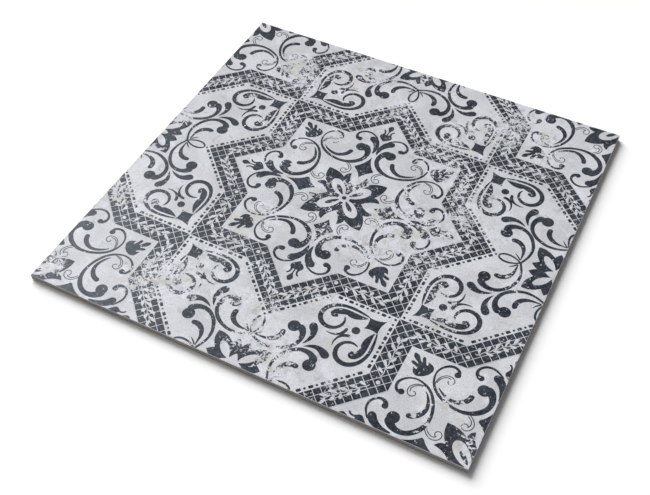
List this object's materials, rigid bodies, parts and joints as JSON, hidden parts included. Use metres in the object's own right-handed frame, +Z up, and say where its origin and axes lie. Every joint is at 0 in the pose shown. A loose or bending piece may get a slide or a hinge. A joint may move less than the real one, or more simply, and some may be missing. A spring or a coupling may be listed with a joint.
{
  "type": "porcelain tile",
  "caption": "Square rectified porcelain floor tile with a flat glazed face printed with a worn star-and-cross scroll pattern, ground edges and a keyed back.",
  "frame": {"origin": "centre of the back, on the plane of the ribs that the tile lies on", "axes": "+Z up through the thickness to the glazed face, +X and +Y along the edges"},
  "size_m": [0.6, 0.6, 0.009],
  "materials": {
    "glazed_porcelain": "matt glaze, pale mottled grey",
    "printed_ink": "fired charcoal-blue print, worn through in patches"
  },
  "bodies": {
    "root": {"porcelain_tile": "glazed_porcelain"}
  },
  "joints": []
}
